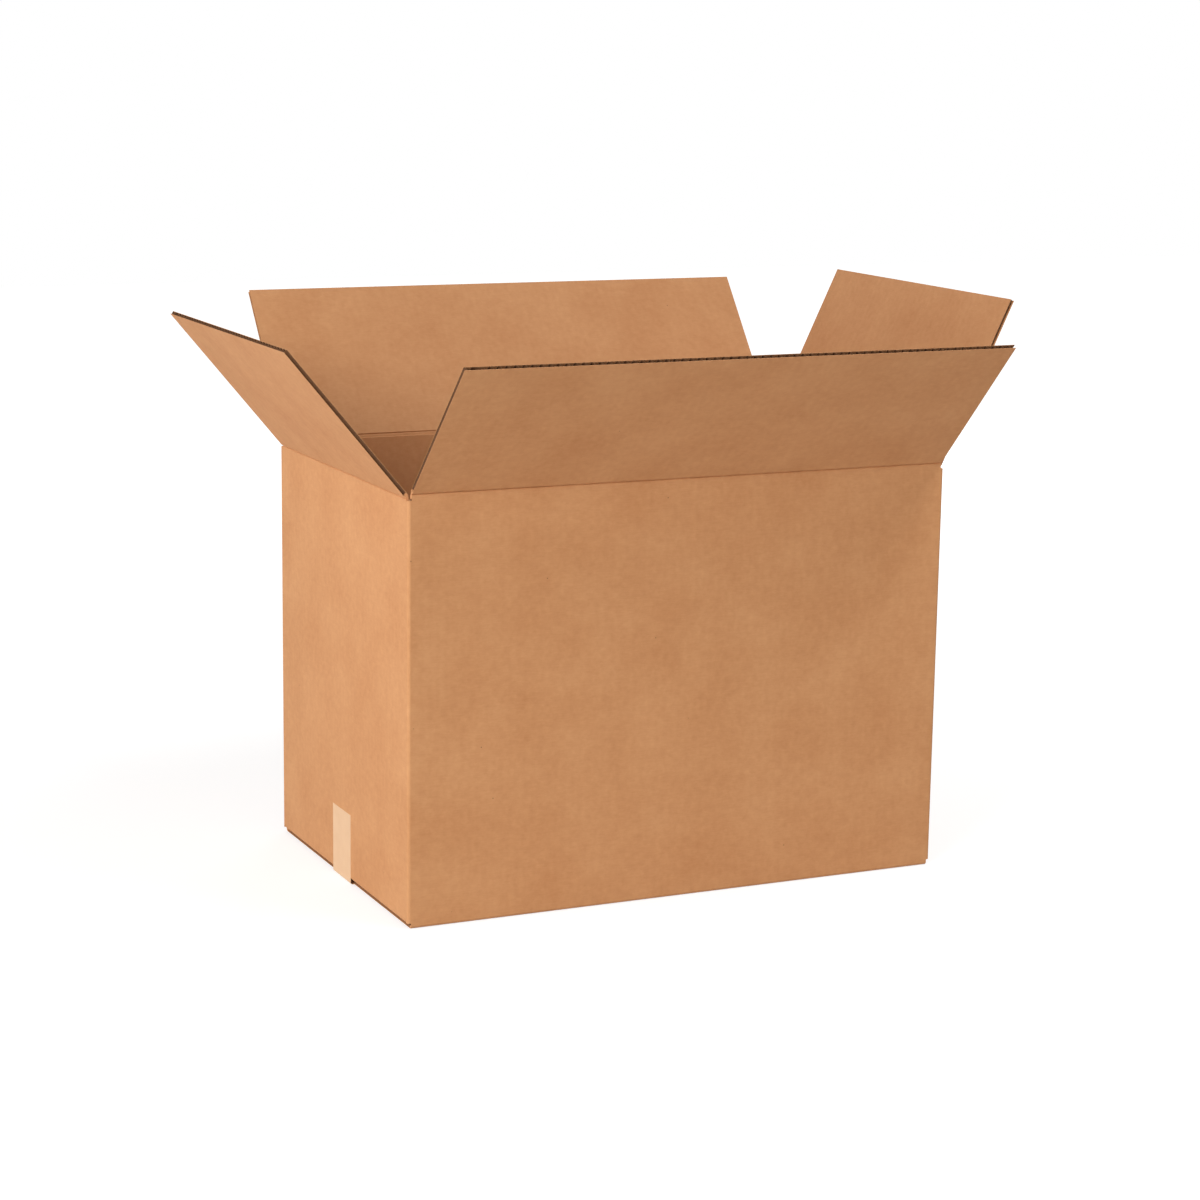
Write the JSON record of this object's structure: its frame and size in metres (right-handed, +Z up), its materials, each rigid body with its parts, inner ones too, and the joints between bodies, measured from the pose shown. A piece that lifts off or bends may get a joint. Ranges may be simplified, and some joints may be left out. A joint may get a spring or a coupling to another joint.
{
  "type": "corrugated box",
  "caption": "Kraft corrugated shipping carton, regular slotted style, taped shut at the bottom, with its top flaps hinged on their score lines and standing open.",
  "frame": {"origin": "centre of the carton's underside, on the face of the bottom tape", "axes": "+Z up; +X to the right along the front wall; -Y out of the front wall, the long side nearest the viewer"},
  "size_m": [0.7488, 0.5899, 0.5639],
  "materials": {
    "kraft_board": "matte kraft liner",
    "buff_tape": "satin packing tape"
  },
  "bodies": {
    "carton": {"carton_body": "kraft_board", "bottom_tape": "buff_tape"},
    "front_flap": {"front_flap": "kraft_board"},
    "back_flap": {"back_flap": "kraft_board"},
    "left_flap": {"left_flap": "kraft_board"},
    "right_flap": {"right_flap": "kraft_board"}
  },
  "joints": [
    {"name": "front_flap_fold", "type": "hinge", "parent": "carton", "child": "front_flap", "pos_m": [0, -0.178, 0.4066], "axis": [1, 0, 0], "range_deg": [-134.5, 133.5]},
    {"name": "back_flap_fold", "type": "hinge", "parent": "carton", "child": "back_flap", "pos_m": [0, 0.178, 0.4066], "axis": [-1, 0, 0], "range_deg": [-128.5, 139.5]},
    {"name": "left_flap_fold", "type": "hinge", "parent": "carton", "child": "left_flap", "pos_m": [-0.2796, 0, 0.4023], "axis": [0, -1, 0], "range_deg": [-130, 138]},
    {"name": "right_flap_fold", "type": "hinge", "parent": "carton", "child": "right_flap", "pos_m": [0.2796, 0, 0.4023], "axis": [0, 1, 0], "range_deg": [-115.5, 152.5]}
  ]
}
